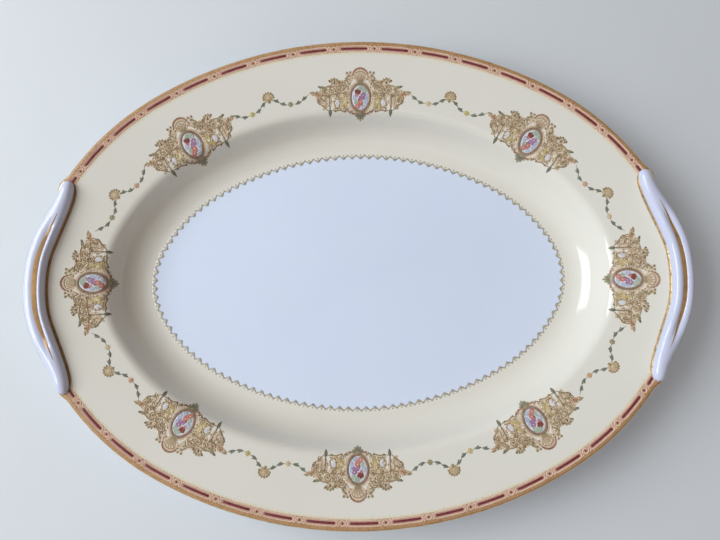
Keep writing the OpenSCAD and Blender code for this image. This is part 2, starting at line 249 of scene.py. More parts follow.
def skin(grid, whole):
    """Quads over rows of points, each a closed section; a whole turn joins the last row to the first."""
    rows, columns = grid.shape[:2]
    faces = []
    for i in range(rows if whole else rows - 1):
        for j in range(columns):
            k, l = (i + 1) % rows, (j + 1) % columns
            faces.append((i * columns + j, i * columns + l, k * columns + l, k * columns + j))
    return faces


def tube(grid, whole=False):
    """The skin of a row of sections, with flat ends where it isn't a whole turn."""
    faces = skin(grid, whole)
    rows, columns = grid.shape[:2]
    if not whole:
        faces.append(tuple(range(columns))[::-1])
        faces.append(tuple(range((rows - 1) * columns, rows * columns)))
    return faces


def swept_strip(name, profile, start, end, material, nodes=()):
    """A closed section of (inset, height) points swept round the oval between two directions."""
    whole = end - start >= 360
    count = max(3, int(round((end - start) / SWEEP_STEP)))
    directions = start + (end - start) * np.arange(count if whole else count + 1) / count
    profile = np.asarray(profile, float)
    grid = np.array([on_oval(a, profile[:, 0], profile[:, 1]) for a in directions])
    add_piece(name, grid.reshape(-1, 3), [f[::-1] for f in tube(grid, whole)], material, nodes)


def mirrored_tube(side, name, grid, material, nodes, sharp=50):
    """A closed piece that is drawn for the right-hand side and laid on the side given."""
    grid[:, :, 0] *= side
    faces = tube(grid)
    if side > 0:
        faces = [f[::-1] for f in faces]
    add_piece(name, grid.reshape(-1, 3), faces, material, nodes, sharp)


def layer_profile(insets, rise, edge_rise, base):
    """Section of a thin layer over the insets given, lower at both edges."""
    rises = np.full(len(insets), rise)
    rises[0] = rises[-1] = edge_rise
    top = np.stack([insets, top_height(insets) + rises], 1)
    return np.concatenate([top, np.stack([insets, top_height(insets) + base], 1)[::-1]])


class Relief:
    """Raised shapes drawn in plan: domes and rounded lines, each one closed."""

    RIM, RIM_RISE, CROWN_RISE = 0.96, 0.5, 0.92  # shares of a dome's outline and of its height
    FLAT = 0.55  # share of a line's width that is level on top

    def __init__(self):
        self.points, self.faces = [], []

    def _ring(self, outline, lift):
        """Adds points at one height and gives their numbers."""
        start = len(self.points)
        self.points += [(x, y, lift) for x, y in outline]
        return list(range(start, start + len(outline)))

    def blob(self, outline, height, rounding=0.62):
        """A dome over a closed outline."""
        o = np.asarray(outline, float)
        x, y = o[:, 0], o[:, 1]
        if np.dot(x, np.roll(y, -1)) < np.dot(np.roll(x, -1), y):
            o = o[::-1]
        centre = o.mean(0)
        rings = [self._ring(o, -SINK),
                 self._ring(centre + (o - centre) * self.RIM, height * self.RIM_RISE),
                 self._ring(centre + (o - centre) * rounding, height * self.CROWN_RISE)]
        top = self._ring([centre], height)[0]
        n = len(o)
        for low, high in zip(rings, rings[1:]):
            self.faces += [(low[i], low[(i + 1) % n], high[(i + 1) % n], high[i]) for i in range(n)]
        self.faces += [(rings[-1][i], rings[-1][(i + 1) % n], top) for i in range(n)]
        self.faces.append(tuple(rings[0][::-1]))

    def stroke(self, path, width, height, closed=False):
        """A rounded line along a path, of one width or a width at each point."""
        p = np.asarray(path, float)
        if closed:
            t = np.roll(p, -1, 0) - np.roll(p, 1, 0)
        else:
            t = np.gradient(p, axis=0)
        t /= np.maximum(np.hypot(t[:, 0], t[:, 1]), 1e-9)[:, None]
        side = np.stack([-t[:, 1], t[:, 0]], 1) * (np.broadcast_to(width, len(p)) / 2)[:, None]
        rails = [self._ring(p - side, -SINK), self._ring(p - side * self.FLAT, height),
                 self._ring(p + side * self.FLAT, height), self._ring(p + side, -SINK)]
        n = len(p)
        for low, high in zip(rails, rails[1:] + rails[:1]):
            for i in range(n if closed else n - 1):
                j = (i + 1) % n
                self.faces.append((low[i], low[j], high[j], high[i]))
        if not closed:
            self.faces.append(tuple(r[0] for r in rails))
            self.faces.append(tuple(r[-1] for r in rails[::-1]))

    def oval(self, x, y, a, b, turn, sides, height, rounding=0.62):
        """A dome over an oval."""
        self.blob(oval_outline(x, y, a, b, turn, sides), height, rounding)

    def line(self, path, width, height, tip=0.35):
        """A line that is full in the middle and thin at both ends, down to a share of its width."""
        t = np.linspace(0, 1, len(path))
        self.stroke(path, width * (tip + (1 - tip) * np.sin(pi * t) ** 0.7), height)

    def dot(self, x, y, r, height, sides=8):
        """A round dome."""
        self.oval(x, y, r, r, 0, sides, height)

    def drape(self, name, material, slot, nodes=(), lift=GROUND_T, place=None):
        """Lays the shapes on the china, a lift above it: as drawn, or with +Y outwards at a place."""
        points = np.array(self.points, float)
        if place:
            points[:, :2] = turned(*plan(*place), points[:, 0], points[:, 1], place[0] - 90)
        points[:, 2] += top_height(inset_of(points[:, 0], points[:, 1])) + lift
        add_piece(name, points, self.faces, material, nodes)


def turned(x, y, u, v, turn):
    """Points (u, v) turned by an angle and moved to (x, y)."""
    c, s = cos(radians(turn)), sin(radians(turn))
    return np.stack([x + c * u - s * v, y + s * u + c * v], 1)


def oval_outline(x, y, a, b, turn, sides):
    """Closed oval with half sizes a and b, turned by an angle."""
    t = np.arange(sides) * 2 * pi / sides
    return turned(x, y, a * np.cos(t), b * np.sin(t), turn)


def petals(relief, x, y, reach, size, turns, sides, height, side=1):
    """Petals round (x, y), each lying along its own direction; side -1 mirrors them."""
    for turn in turns:
        t = radians(turn)
        petal = oval_outline(x + reach[0] * cos(t), y + reach[1] * sin(t), *size, turn, sides)
        relief.blob(petal * (side, 1), height)


def leaf_outline(x, y, length, width, turn):
    """Pointed leaf from (x, y) in the direction turn."""
    t = np.linspace(0, 1, 7)
    half = width / 2 * np.sin(pi * t ** 0.85) ** 0.8
    u = np.concatenate([t * length, t[-2:0:-1] * length])
    v = np.concatenate([half, -half[-2:0:-1]])
    return turned(x, y, u, v, turn)


def spiral(x, y, r, turns, start, way):
    """Scroll that winds in from radius r to a small eye."""
    steps, eye = 22, 0.82
    t = np.linspace(0, 1, steps)
    a = radians(start) + way * t * turns * 2 * pi
    q = r * (1 - eye * t)
    return np.stack([x + q * np.cos(a), y + q * np.sin(a)], 1)


def curve(points, steps=14):
    """Smooth path through control points."""
    p = np.asarray(points, float)
    t = np.linspace(0, len(p) - 1, steps)
    i = np.clip(t.astype(int), 0, len(p) - 2)
    f = (t - i)[:, None]
    before, after = p[np.maximum(i - 1, 0)], p[np.minimum(i + 2, len(p) - 1)]
    a, b = p[i], p[i + 1]
    return 0.5 * (2 * a + (b - before) * f + (2 * before - 5 * a + 4 * b - after) * f ** 2
                  + (3 * a - before - 3 * b + after) * f ** 3)


# ---- Materials ----

def fill_ramp(node, stops):
    """Sets a colour ramp's (position, colour) stops."""
    elements = node.color_ramp.elements
    while len(elements) < len(stops):
        elements.new(0.5)
    for element, (position, colour) in zip(elements, stops):
        element.position, element.color = position, (*colour, 1.0)


class Finish:
    """Builds one procedural material out of noise, ramps and bump."""

    def __init__(self, name):
        self.material = bpy.data.materials.new(name)
        self.material.use_nodes = True
        self.tree = self.material.node_tree
        self.shader = self.tree.nodes["Principled BSDF"]
        self.coord = self.tree.nodes.new("ShaderNodeTexCoord").outputs["Object"]

    def node(self, kind, source, socket, **inputs):
        """Adds a node with some inputs set and one socket fed."""
        node = self.tree.nodes.new("ShaderNode" + kind)
        self.tree.links.new(source, node.inputs[socket])
        for name, value in inputs.items():
            node.inputs[name.replace("_", " ")].default_value = value
        return node

    def noise(self, scale, detail, roughness=0.55):
        """Cloudy noise from 0 to 1."""
        return self.node("TexNoise", self.coord, "Vector", Scale=scale, Detail=detail,
                         Roughness=roughness).outputs["Fac"]

    def cells(self, scale):
        """Distance to the nearest of many scattered points."""
        return self.node("TexVoronoi", self.coord, "Vector", Scale=scale).outputs["Distance"]

    def ramp(self, value, stops):
        """Colour of a value, from (position, colour) stops."""
        node = self.node("ValToRGB", value, "Fac")
        fill_ramp(node, stops)
        return node.outputs["Color"]

    def span(self, value, low, high, start=0.3, end=0.7):
        """A value from start to end, stretched to run from low to high."""
        return self.node("MapRange", value, "Value", From_Min=start, From_Max=end, To_Min=low,
                         To_Max=high).outputs["Result"]

    def mix(self, share, first, second):
        """Blend of two colours, each a tuple or an output."""
        node = self.tree.nodes.new("ShaderNodeMix")
        node.data_type = "RGBA"
        self.tree.links.new(share, node.inputs["Factor"])
        for socket, value in ((6, first), (7, second)):
            if isinstance(value, tuple):
                node.inputs[socket].default_value = (*value, 1.0)
            else:
                self.tree.links.new(value, node.inputs[socket])
        return node.outputs[2]

    def colour(self, value):
        self.tree.links.new(value, self.shader.inputs["Base Color"])

    def roughness(self, value):
        self.tree.links.new(value, self.shader.inputs["Roughness"])

    def bump(self, layers):
        """Stacks bumps, each (height output, distance in metres, strength)."""
        normal = None
        for height, distance, strength in layers:
            node = self.node("Bump", height, "Height", Distance=distance, Strength=strength)
            if normal is not None:
                self.tree.links.new(normal, node.inputs["Normal"])
            normal = node.outputs["Normal"]
        self.tree.links.new(normal, self.shader.inputs["Normal"])


def shade(colour, factor):
    """A colour made lighter or darker."""
    return tuple(min(1.0, c * factor) for c in colour)


def glaze(name, colour, warm):
    """Fired glaze: clouded tone, faint specks and a slow undulation."""
    f = Finish(name)
    cloud = f.ramp(f.noise(14, 4), [(0.3, shade(colour, 0.965)), (0.7, colour)])
    tinted = f.mix(f.span(f.noise(45, 3), 0.0, 0.35), cloud, warm)
    specks = f.span(f.cells(420), 0.12, 0.0, 0.035, 0.06)
    f.colour(f.mix(specks, tinted, shade(warm, 0.62)))
    f.roughness(f.span(f.noise(90, 5), 0.05, 0.13))
    f.bump([(f.noise(38, 1), 0.0006, 0.05), (f.noise(900, 2), 0.00002, 0.12)])
    return f.material


def enamel(name, dark, light, scale=900, rough=(0.22, 0.42)):
    """Printed and fired colour: stippled tone, a little matter than the glaze under it."""
    f = Finish(name)
    middle = tuple((a + b) / 2 for a, b in zip(dark, light))
    stipple = f.ramp(f.noise(scale, 4, 0.65), [(0.34, dark), (0.5, middle), (0.64, light)])
    f.colour(f.mix(f.span(f.noise(120, 3), 0.0, 0.45), stipple, shade(light, 1.1)))
    f.roughness(f.span(f.noise(scale * 0.7, 3), *rough))
    f.bump([(f.noise(scale * 1.4, 2), 0.00006, 0.35)])
    return f.material


def gold(name, colour, worn, rough, metal=1.0):
    """Brushed-on gold: metal with brush marks, duller and browner where it is thin."""
    f = Finish(name)
    f.shader.inputs["Metallic"].default_value = metal
    tone = f.ramp(f.noise(260, 5, 0.6), [(0.3, worn), (0.48, colour), (0.72, shade(colour, 1.12))])
    f.colour(f.mix(f.span(f.noise(60, 2), 0.0, 0.5), tone, worn))
    f.roughness(f.span(f.noise(520, 4), *rough))
    f.bump([(f.noise(1400, 3), 0.00004, 0.3)])
    return f.material


def make_materials():
    """All the glazes, enamels and golds by a short name."""
    return {
        "china": glaze("white_glaze", (0.755, 0.805, 0.945), (0.775, 0.805, 0.91)),
        "ivory": glaze("ivory_glaze", (0.83, 0.765, 0.66), (0.82, 0.77, 0.685)),
        "foot": enamel("bare_foot", (0.52, 0.50, 0.46), (0.68, 0.66, 0.62), 1400, (0.6, 0.85)),
        "handle": glaze("handle_glaze", (0.655, 0.66, 0.80), (0.68, 0.665, 0.78)),
        "gold": gold("gilding", (0.56, 0.30, 0.10), (0.36, 0.19, 0.07), (0.4, 0.55), 0.45),
        # darker copy of the gilding: painted shade on the left handle's groove
        "painted_shade_gold": gold("gilding_painted_shade", (0.36, 0.20, 0.075), (0.25, 0.135, 0.055), (0.35, 0.5), 0.6),
        # dark brown copy of the gilding: painted shade on the left handle's inner foot line
        "painted_shade_foot_gold": gold("gilding_foot_painted_shade", (0.44, 0.28, 0.14), (0.33, 0.20, 0.10), (0.36, 0.5)),
        "pale_gold": gold("gilding_lip", (0.88, 0.62, 0.32), (0.46, 0.27, 0.11), (0.14, 0.3)),
        "band": enamel("border_tan", (0.34, 0.16, 0.06), (0.53, 0.295, 0.14), 700),
        "band_pink": enamel("border_pink", (0.44, 0.21, 0.115), (0.64, 0.38, 0.26), 700),
        "maroon": enamel("maroon", (0.12, 0.014, 0.022), (0.22, 0.03, 0.045), 600),
        "pink": enamel("pale_pink", (0.68, 0.45, 0.33), (0.88, 0.68, 0.54)),
        "fringe": enamel("fringe", (0.70, 0.58, 0.36), (0.82, 0.71, 0.50)),
        "lace": enamel("lace_tan", (0.29, 0.245, 0.18), (0.49, 0.44, 0.345)),
        "frame": enamel("frame_taupe", (0.17, 0.10, 0.06), (0.35, 0.23, 0.15), 700),
        "rust": enamel("rust", (0.20, 0.07, 0.04), (0.46, 0.24, 0.15), 700),
        "plaque": enamel("plaque_white", (0.56, 0.53, 0.545), (0.75, 0.72, 0.745), 500, (0.1, 0.2)),
        "ground": enamel("wing_ground", (0.49, 0.345, 0.215), (0.75, 0.57, 0.41), 620),
        "tan": enamel("scroll_tan", (0.235, 0.15, 0.072), (0.44, 0.305, 0.165), 800),
        "cream": enamel("cream_bead", (0.72, 0.59, 0.43), (0.86, 0.74, 0.59), 800),
        "brown": enamel("dot_brown", (0.13, 0.08, 0.04), (0.29, 0.19, 0.10)),
        "khaki": enamel("khaki", (0.20, 0.16, 0.085), (0.41, 0.335, 0.19), 800),
        "mustard": enamel("mustard", (0.40, 0.29, 0.10), (0.63, 0.49, 0.21), 800),
        "slate": enamel("slate", (0.115, 0.10, 0.06), (0.24, 0.215, 0.135)),
        "leaf": enamel("leaf_green", (0.10, 0.11, 0.08), (0.24, 0.245, 0.175)),
        "coral": enamel("coral", (0.42, 0.20, 0.10), (0.66, 0.42, 0.26)),
        "sand": enamel("shell_sand", (0.44, 0.30, 0.16), (0.70, 0.54, 0.34)),
        "rose": enamel("rose", (0.14, 0.025, 0.018), (0.29, 0.075, 0.05)),
        "pink_flower": enamel("pink_flower", (0.42, 0.10, 0.08), (0.63, 0.26, 0.21)),
        "violet": enamel("violet", (0.19, 0.075, 0.15), (0.48, 0.26, 0.40)),
        "mint": enamel("mint", (0.26, 0.32, 0.23), (0.47, 0.52, 0.41)),
        "blue": enamel("blue", (0.31, 0.34, 0.44), (0.54, 0.56, 0.66)),
    }


M = make_materials()

# ---- China ----

COLUMNS = 480
FLOOR_SHARES = (0.12, 0.3, 0.48, 0.65, 0.8, 0.92)


def flat_floor(z):
    """Level rings at a height, from near the middle out to the swept section."""
    ux, uy = plan(np.arange(COLUMNS) * 360 / COLUMNS, SWEEP_W)
    return [np.stack([ux * share, uy * share, np.full(COLUMNS, z)], 1) for share in FLOOR_SHARES]


def platter_body():
    """The pressed body: well, cavetto, border, rolled lip, wall and foot ring."""
    directions = np.arange(COLUMNS) * 360 / COLUMNS
    swept = [on_oval(directions, -x, z) for x, z in (*UPPER[::-1], *LOWER)]
    grid = np.array(flat_floor(WELL_Z) + swept + flat_floor(WELL_Z - WALL)[::-1])
    points = np.concatenate([grid.reshape(-1, 3), [[0, 0, WELL_Z], [0, 0, WELL_Z - WALL]]])
    faces = skin(grid, False)
    top, bottom, last = len(points) - 2, len(points) - 1, (len(grid) - 1) * COLUMNS
    for j in range(COLUMNS):
        k = (j + 1) % COLUMNS
        faces.append((k, j, top))
        faces.append((last + j, last + k, bottom))
    add_piece("platter_body_china", points, [f[::-1] for f in faces], "china",
              ["platter_body"], sharp=60)


def foot_rim():
    """Bare ground edge of the foot ring, where the glaze was wiped off."""
    out = FOOT_INSET
    profile = [(out + 0.95, 0.5), (out + 1.55, 0.1), (out + 2.05, 0.0), (out + FOOT_W - 1.3, 0.0),
               (out + FOOT_W - 0.6, 0.1), (out + FOOT_W - 0.12, 0.55), (out + 2.5, 0.9)]
    swept_strip("foot_bare_edge", profile[::-1], 0, 360, "foot")


def ivory_ground():
    """Ivory colour ground from the lip to the edge of the well."""
    near, far, insets = 0.9, LACE_INSET - 0.5, -UPPER[:, 0]
    insets = np.unique(np.concatenate([[near], insets[(insets > near) & (insets < far)], [far]]))
    swept_strip("ivory_ground_glaze", layer_profile(insets, GROUND_T, 0.03, -0.05), 0, 360, "ivory",
                ["ivory_ground"])


def lip_gilding():
    """Gold line painted round the lip, from the top of the roll to just under its outer side."""
    middle, start, end = (LIP_R, RIM_Z - LIP_R), 180 + 25, 180 - 62
    under = arc_points(middle, LIP_R - 0.05, start, end, 12)
    over = arc_points(middle, LIP_R + 0.12, end, start, 12)
    swept_strip("lip_gold", np.concatenate([under, over])[::-1], 0, 360, "pale_gold",
                ["rim_gilding"])


# ---- Handles ----

HANDLE_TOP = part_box("handle_right")[1].z / MM
STRAND_Z = HANDLE_TOP - 4.3
HANDLE_BASE = RIM_Z - 3.6
HANDLE_SHIFT = -1.8
TIP_Y = 66.3
HANDLE_Y = (0, 13, 20, 27, 34, 43, 51, 56, 60.5, 63.3, 65.2, TIP_Y)
HANDLE_MID = (200.8, 199.9, 198.5, 196.2, 193.3, 189.1, 185.3, 183.2, 181.9, 181.3, 181.0, 180.9)
HANDLE_HALF = (6.3, 6.3, 6.3, 6.3, 6.1, 5.5, 4.8, 4.3, 3.95, 3.3, 2.2, 0.15)
HANDLE_TALL = (3.9, 3.9, 3.9, 3.9, 3.9, 3.9, 3.95, 4.0, 3.9, 3.3, 2.3, 0.5)
GROOVE_Y = (0, 20, 34, 42, 50)
GROOVE_DEEP = (2.2, 1.9, 1.1, 0.35, 0.0)
GROOVE_FULL = 1.2  # depth from which the handle is two whole strands
STRAND_ROUND = 2.2  # power of a strand's rounded profile
# By side, 1 right and -1 left. The groove lies at a share of the half width, and its gold
# reaches inwards and outwards from there; the gold at the inner foot has a width.
GROOVE_AT = {1: 0.0, -1: -0.38}
GROOVE_GOLD = {1: (1.05, 1.05), -1: (0.7, 2.1)}
# The left handle's groove gold is the darker copy of the gilding, painted shade; the right one is the plain
# gold.
GROOVE_TONE = {1: "gold", -1: "painted_shade_gold"}
FOOT_GOLD = {1: 0.9, -1: 1.25}
# One gold line at the inner foot in two tones: the dark copy on the left is painted shade, and the paler
# gold on the right is real gilding made paler as a painted highlight.
FOOT_TONE = {1: "pale_gold", -1: "painted_shade_foot_gold"}
GROOVE_GOLD_Y, GROOVE_GOLD_W = (0, 20, 34, 46), (0.17, 0.15, 0.09, 0.02)
FOOT_GOLD_Y, FOOT_GOLD_THIN, FOOT_GOLD_TALL = (0, 58, 65), (1.0, 1.0, 0.4), 1.15
EDGE_GOLD_Y, EDGE_GOLD = 57, (0.9, 0.995)
GOLD_LIFT = 0.1


def handle_frames():
    """Stations along the handle: y, middle, outward normal in plan, half width, height."""
    count = 180
    v = np.sin(np.linspace(-pi / 2, pi / 2, count))
    y = TIP_Y * (0.75 * v + 0.25 * np.linspace(-1, 1, count))  # closer together near the noses
    x = smooth(np.abs(y), HANDLE_Y, HANDLE_MID)
    t = np.stack([np.gradient(x, y), np.ones(count)], 1)
    t /= np.hypot(t[:, 0], t[:, 1])[:, None]
    normal = np.stack([t[:, 1], -t[:, 0]], 1)
    half, tall = (smooth(np.abs(y), HANDLE_Y, level) for level in (HANDLE_HALF, HANDLE_TALL))
    return y, x, normal, half, tall


def strand(s):
    """Rounded profile from 1 in the middle to 0 at a share of 1 either way."""
    return np.sqrt(np.maximum(0, 1 - np.minimum(1, np.abs(s)) ** STRAND_ROUND))


def handle_top(y, s, tall, groove):
    """Height over the widest level at a share s (-1 inner edge to 1 outer edge) of the width."""
    deep = float(smooth(abs(y), GROOVE_Y, GROOVE_DEEP))
    inner = (s + (1 - groove) / 2) / ((1 + groove) / 2)
    outer = (s - (1 + groove) / 2) / ((1 - groove) / 2)
    two = strand(np.where(s < groove, inner, outer))
    humps = np.where(np.abs(s - groove) < 0.5, np.maximum(two, 1 - deep / tall), two)
    share = min(1.0, deep / GROOVE_FULL)
    return tall * (strand(s) * (1 - share) + humps * share)


def handle_point(frames, i, s, grow=0.0):
    """Plan point at station i and a share s of the half width, moved out by grow."""
    y, x, normal, half = frames[:4]
    reach = (half[i] * abs(s) + grow) * (1 if s > 0 else -1)
    return x[i] + normal[i, 0] * reach, y[i] + normal[i, 1] * reach + HANDLE_SHIFT


def make_handle(side, name, node):
    """Closed crescent handle: two strands that run together into a round nose at each end."""
    frames = handle_frames()
    y, tall = frames[0], frames[4]
    across = np.sin(np.linspace(-pi / 2, pi / 2, 33))
    under = ((1.0, STRAND_Z - 1.4), (0.9, HANDLE_BASE + 0.7), (0.62, HANDLE_BASE))
    under += tuple((-s, z) for s, z in under[::-1])
    rows = []
    for i in range(len(y)):
        rise = handle_top(y[i], across, tall[i], GROOVE_AT[side])
        row = [(*handle_point(frames, i, s), STRAND_Z + h) for s, h in zip(across, rise)]
        row += [(*handle_point(frames, i, s), z) for s, z in under]
        rows.append(row)
    mirrored_tube(side, name, np.array(rows), "handle", [node], sharp=70)


def ribbon(side, name, rails, material, nodes=()):
    """Closed thin ribbon between two rails of 3-D points, thickened downwards."""
    crown, thick = [0, 0, 0.07], [0, 0, 0.25]
    left, right = (np.asarray(r, float) for r in rails)
    middle = (left + right) / 2 + crown
    grid = np.stack([left, middle, right, right - thick, left - thick], 1)
    mirrored_tube(side, name, grid, material, nodes)


def handle_gold(side, name, node):
    """Gold in the groove, along the fillet at the handle's inner foot, and on the outer edge."""
    frames = handle_frames()
    y, tall = frames[0], frames[4]

    def rail(share, picked):
        out = []
        for i, s in zip(picked, np.broadcast_to(share, len(picked))):
            h = float(handle_top(y[i], np.array([s]), tall[i], GROOVE_AT[side])[0])
            out.append((*handle_point(frames, i, s), STRAND_Z + h + GOLD_LIFT))
        return np.array(out)

    groove = np.where(np.abs(y) < GROOVE_GOLD_Y[-1])[0]
    wide = smooth(np.abs(y[groove]), GROOVE_GOLD_Y, GROOVE_GOLD_W)
    near, far = (GROOVE_AT[side] + way * share * wide for way, share in zip((-1, 1), GROOVE_GOLD[side]))
    ribbon(side, name + "_groove", (rail(near, groove), rail(far, groove)),
           GROOVE_TONE[side], [node])
    high, low = [], []
    for i in np.where(np.abs(y) <= FOOT_GOLD_Y[-1])[0]:
        thin = float(smooth(abs(y[i]), FOOT_GOLD_Y, FOOT_GOLD_THIN))
        px, py = handle_point(frames, i, -1, FOOT_GOLD[side] * thin)
        foot_z = float(top_height(max(LIP_R, float(inset_of(px, py))))) + GROUND_T + 0.14
        low.append((px, py, foot_z))
        high.append((*handle_point(frames, i, -1, 0.05), foot_z + FOOT_GOLD_TALL * thin))
    ribbon(side, name + "_foot", (np.array(low), np.array(high)), FOOT_TONE[side])
    edge = np.where(np.abs(y) < EDGE_GOLD_Y)[0]
    ribbon(side, name + "_edge", [rail(share, edge) for share in EDGE_GOLD], "pale_gold")


# ---- Border ----

BAND_FROM = {"back": 33.0, "front": 34.0}
BAND_NEAR, BAND_SPLIT, BAND_FAR, BAND_LAP, BAND_T, BAND_EDGE_T = 0.9, 3.6, 7.2, 0.1, 0.1, 0.04
BAR_INSET, BAR_L, BAR_W, BAR_T = 5.0, 17.4, 1.3, 0.24
BAR_PITCH = {"back": 26.3, "front": 25.86}
BAR_COUNT = 15
OUTLINE_GAP, OUTLINE_W, OUTLINE_T = 0.75, 0.52, 0.12
PRINT_LIFT = GROUND_T + 0.12
DIAMOND = ((-2.3, 0), (0, -1.6), (2.3, 0), (0, 1.6))
DIAMOND_DOTS = ((-2.7, -1.5), (2.7, -1.5), (-2.7, 1.5), (2.7, 1.5))
FRINGE_PITCH, FRINGE_DOWN, FRINGE_DROP, FRINGE_T = 1.7, 0.3, 1.15, 0.07


def draw_bar(bars, outlines, line, start, end):
    """A maroon bar between two lengths, and the line round it."""
    bars.blob(line.capsule(start, end, BAR_W / 2), BAR_T, 0.9)
    gap = OUTLINE_GAP + OUTLINE_W / 2
    outlines.stroke(line.capsule(start - gap, end + gap, BAR_W / 2 + gap), OUTLINE_W, OUTLINE_T, closed=True)


def draw_bars(bars, outlines, line, pitch, reach):
    """Bars at a pitch with a shorter one at each end, and a dotted diamond in each gap."""
    last = (BAR_COUNT - 1) / 2
    for i in np.arange(-last, last + 1):
        draw_bar(bars, outlines, line, i * pitch - BAR_L / 2, i * pitch + BAR_L / 2)
    for way in (-1, 1):
        ends = sorted((way * ((last + 1) * pitch - BAR_L / 2), way * (reach - 1.0)))
        draw_bar(bars, outlines, line, *ends)
    for i in np.arange(-last - 0.5, last + 1):
        diamond = [line.at(i * pitch + u, v) for u, v in DIAMOND]
        outlines.stroke(curve(diamond + diamond[:1], 17)[:-1], OUTLINE_W, OUTLINE_T, closed=True)
        for u, v in DIAMOND_DOTS:
            outlines.dot(*line.at(i * pitch + u, v), 0.5, OUTLINE_T, 6)
        bars.dot(*line.at(i * pitch), 0.62, 0.26, 10)


def draw_fringe(fringe, line, reach):
    """Row of beads on the band's inner edge, with a smaller one under every second bead."""
    count = int(2 * reach / FRINGE_PITCH)
    for i in range(count):
        v = -reach + (i + 0.5) * 2 * reach / count
        fringe.oval(*line.at(v, BAND_FAR - BAR_INSET + FRINGE_DOWN), 0.8, 0.62, 0, 8, FRINGE_T)
        if i % 2:
            fringe.dot(*line.at(v, BAND_FAR - BAR_INSET + FRINGE_DROP), 0.4, FRINGE_T, 6)


def border(side, name):
    """Tan band with maroon bars in pink outlines, a dotted diamond between them, and a fringe."""
    start = BAND_FROM[name] if side > 0 else 180 + BAND_FROM[name]
    end = start + 180 - 2 * BAND_FROM[name]
    band = "border_band_" + name
    for tone, near, far, steps, key, nodes in (
            ("_tan", BAND_NEAR, BAND_SPLIT, 4, "band", [band]),
            ("_pink", BAND_SPLIT - BAND_LAP, BAND_FAR, 3, "band_pink", ())):
        profile = layer_profile(np.linspace(near, far, steps + 1), GROUND_T + BAND_T,
                                GROUND_T + BAND_EDGE_T, GROUND_T - SINK)
        swept_strip(band + tone, profile, start, end, key, nodes)
    line = RimLine((start + end) / 2, BAR_INSET)
    reach = line.length_to(end)
    bars, outlines, fringe = (Relief() for _ in range(3))
    draw_bars(bars, outlines, line, BAR_PITCH[name], reach)
    draw_fringe(fringe, line, reach)
    bars.drape("border_panels_" + name + "_maroon", "maroon", "maroon_enamel",
               ["border_panels_" + name, "border_studs_" + name], PRINT_LIFT)
    outlines.drape(band + "_outlines", "pink", "tan_print", (), PRINT_LIFT)
    fringe.drape(band + "_fringe", "fringe", "tan_print")


# ---- Lace round the well ----

def lace():
    """Ring of rounded points with their tips towards the well, filled with ivory."""
    relief, fill = Relief(), Relief()
    line = RimLine(0, LACE_INSET)
    pitch = line.length_to(360) / LACE_REPEATS
    share = np.linspace(0, 1, 13)
    for i in range(LACE_REPEATS):
        s = i * pitch
        point = [line.at(s + pitch * t, LACE_DEEP * (1 - abs(2 * t - 1) ** LACE_ROUND)) for t in share]
        fill.blob([line.at(s + pitch * t, -LACE_BACK) for t in share[::-3]] + point, 0.06, 0.9)
        relief.line(point, LACE_W, 0.12, LACE_THIN)
        relief.blob([line.at(s + pitch * (0.5 + u), LACE_DEEP + v) for u, v in LACE_TIP], 0.16, 0.9)
        relief.dot(*line.at(s + pitch / 2, 0.1), 0.62, 0.1, 6)
        relief.dot(*line.at(s, 0.0), 0.6, 0.12, 6)
    relief.drape("verge_lace_print", "lace", "tan_print", ["verge_lace"], 0.0)
    fill.drape("verge_lace_fill", "ivory", "ivory_glaze", (), 0.0)


# ---- Medallion ----

FRAME_Y = -0.4
FRAME, FRAME_W = (6.35, 8.4), 2.0  # half sizes of an oval, width of its line
HALO, HALO_W = (7.8, 9.5), 1.7
PLAQUE = (5.7, 7.8)
BEADS, BEAD_COUNT = (6.75, 8.85), 40
RUST_ARC, RUST_ENDS = (5.9, 7.95), ((205, 245), (295, 335), (120, 150))


def draw_frame(r):
    """Oval frame with paler beads and rust shading on it, a halo round it and the white plaque inside."""
    r["ground"].stroke(oval_outline(0, FRAME_Y + 0.1, *HALO, 0, 48), HALO_W, 0.08, closed=True)
    r["plaque"].oval(0, FRAME_Y, *PLAQUE, 0, 32, 0.12, 0.9)
    r["frame"].stroke(oval_outline(0, FRAME_Y, *FRAME, 0, 48), FRAME_W, 0.26, closed=True)
    for x, y in oval_outline(0, FRAME_Y, *BEADS, 0, BEAD_COUNT):
        r["tan"].dot(x, y, 0.3, 0.34, 6)
    for start, end in RUST_ENDS:
        r["rust"].line(oval_arc((0, FRAME_Y), *RUST_ARC, start, end, 8), 0.7, 0.3)


BOUQUET = (  # colour, centre, half sizes, turn
    ("mint", 0.7, 6.3, 1.7, 1.4, 0), ("mint", 2.6, 4.6, 1.4, 1.6, 20), ("mint", -0.9, 5.6, 1.2, 0.9, 40),
    ("blue", -3.6, 0.0, 1.3, 1.7, 10), ("blue", 3.6, -2.6, 1.2, 2.1, 5), ("blue", 2.0, -6.4, 1.6, 1.1, 0),
    ("blue", 4.0, 0.4, 0.9, 1.3, 0), ("mint", -2.9, -3.2, 1.0, 1.5, -10),
    ("pink_flower", 0.1, -3.4, 1.5, 2.1, -15), ("pink_flower", -1.7, -5.9, 1.4, 1.5, 30),
    ("pink_flower", -2.4, 1.3, 1.1, 1.0, 0), ("violet", 2.0, 1.6, 1.7, 1.5, 20),
    ("violet", 0.2, -0.6, 1.3, 1.5, -20), ("violet", 2.6, -0.6, 1.0, 1.2, 0),
    ("rose", -1.6, 3.7, 1.9, 1.7, 10), ("rose", -1.0, -2.0, 0.6, 0.8, 0),
)
BOUQUET_SQUASH, FLOWER_SCALE = 0.93, (1.15, 1.12)
PETAL_REACH, PETAL_A, PETAL_B = 0.62, 0.42, 0.36  # shares of a flower's half sizes
